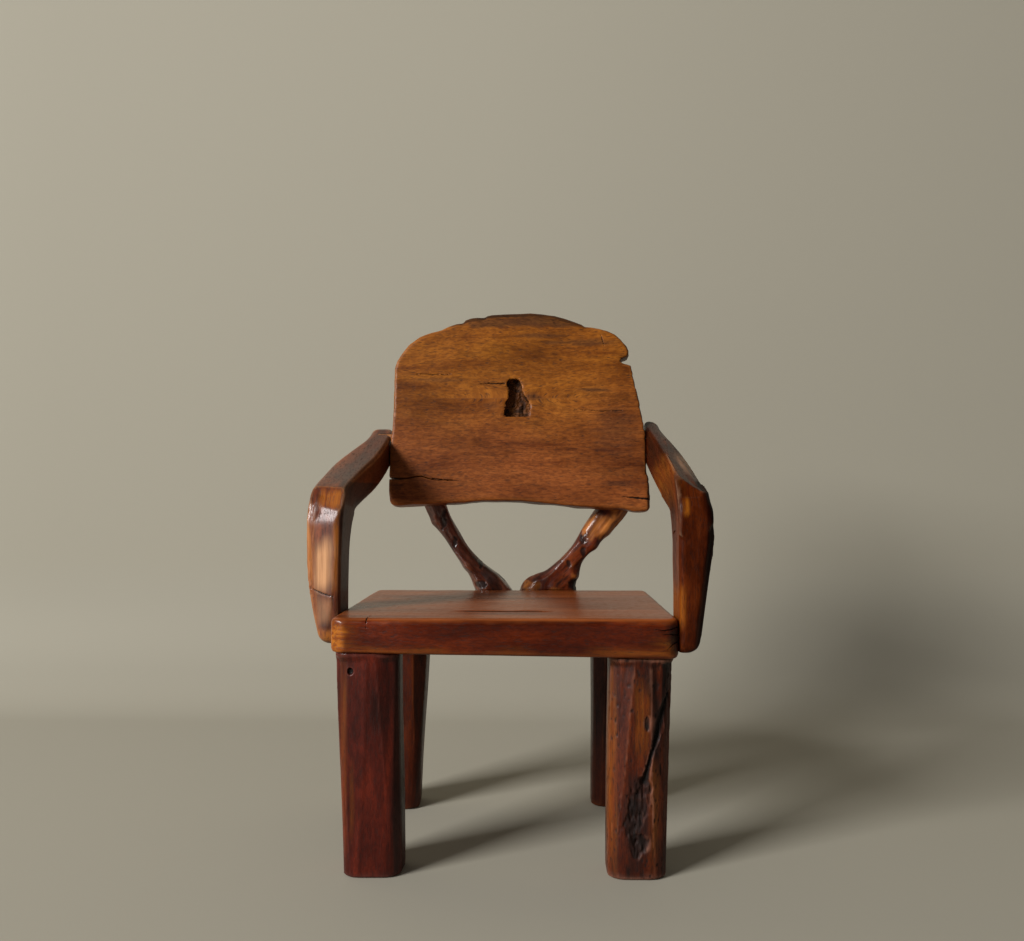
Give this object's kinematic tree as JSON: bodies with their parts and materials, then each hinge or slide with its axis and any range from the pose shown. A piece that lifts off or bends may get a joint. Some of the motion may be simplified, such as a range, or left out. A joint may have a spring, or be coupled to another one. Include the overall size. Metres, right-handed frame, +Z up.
{
  "type": "wooden armchair",
  "caption": "Low armchair of thick planks: slab seat on stout legs, bent-limb arms, a live-edge back plank with a knot hollow, and forked branch struts behind it.",
  "frame": {"origin": "on the floor, under the middle of the chair's bounding box", "axes": "+Z up, -Y the way a seated person faces, +X to the right of someone who stands in front of the chair and faces it"},
  "size_m": [0.6795, 0.5498, 0.9997],
  "materials": {
    "seat_wood": "dark red-brown hardwood under a satin oil and wax finish",
    "back_wood": "golden brown hardwood with long grain, satin finish, dark at its live edge",
    "arm_wood": "red-brown hardwood, hand-cut facets, glossy where hands polish it",
    "branch_wood": "dark barked-off branch, glossy, with paler scars",
    "leg_wood": "dark red hardwood with soft upright facets, glossy, with bark pockets",
    "peg_wood": "plain turned hardwood, end grain at the heads"
  },
  "bodies": {
    "root": {"seat_plank": "seat_wood", "back_plank": "back_wood", "arm_left": "arm_wood", "arm_right": "arm_wood", "branch_left": "branch_wood", "branch_right": "branch_wood", "leg_front_left": "leg_wood", "leg_front_right": "leg_wood", "leg_rear_left": "leg_wood", "leg_rear_right": "leg_wood", "tenon_front_left": "peg_wood", "tenon_front_right": "peg_wood", "tenon_rear_left": "peg_wood", "tenon_rear_right": "peg_wood", "dowels_seat_left": "peg_wood", "dowels_seat_right": "peg_wood", "dowels_back_left": "peg_wood", "dowels_back_right": "peg_wood", "pegs_foot_left": "peg_wood", "pegs_foot_right": "peg_wood", "pegs_head_left": "peg_wood", "pegs_head_right": "peg_wood"}
  },
  "joints": []
}
